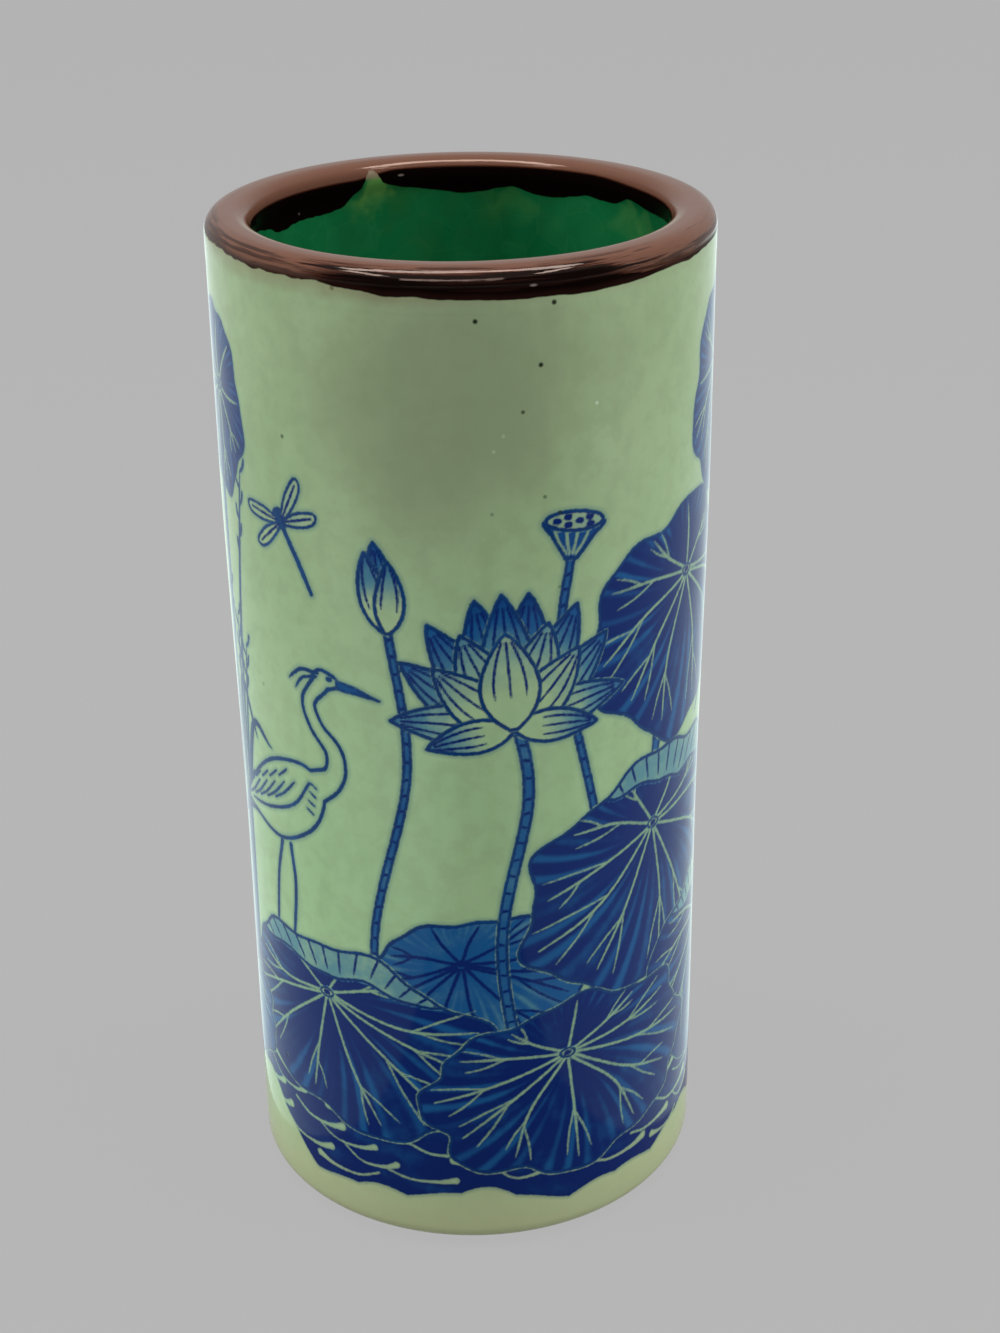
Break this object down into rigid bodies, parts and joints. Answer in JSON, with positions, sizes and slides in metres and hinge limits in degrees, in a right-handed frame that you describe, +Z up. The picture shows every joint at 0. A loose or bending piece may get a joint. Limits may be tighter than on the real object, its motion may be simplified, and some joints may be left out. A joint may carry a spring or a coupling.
{
  "type": "brush pot",
  "caption": "Tall cylindrical porcelain brush pot with a rounded lip, a low foot ring and glazes of pale green outside, deep green inside and brown over the lip.",
  "frame": {"origin": "on the table under the centre of the foot ring", "axes": "+Z up along the pot's axis out of its mouth; -Y is the side that faces the viewer in the picture"},
  "size_m": [0.07, 0.07, 0.1505],
  "materials": {
    "bare_clay": "unglazed fired porcelain, matt and slightly gritty",
    "celadon_glaze": "glossy pale grey-green glaze with pinholes, over an underglaze blue print",
    "brown_glaze": "glossy dark brown iron glaze",
    "green_glaze": "glossy crackled deep green glaze"
  },
  "bodies": {
    "root": {"clay_wall": "bare_clay", "base_slab": "bare_clay", "foot_ring": "bare_clay", "celadon_glaze": "celadon_glaze", "brown_rim_glaze": "brown_glaze", "green_inner_glaze": "green_glaze", "base_glaze": "celadon_glaze"}
  },
  "joints": []
}
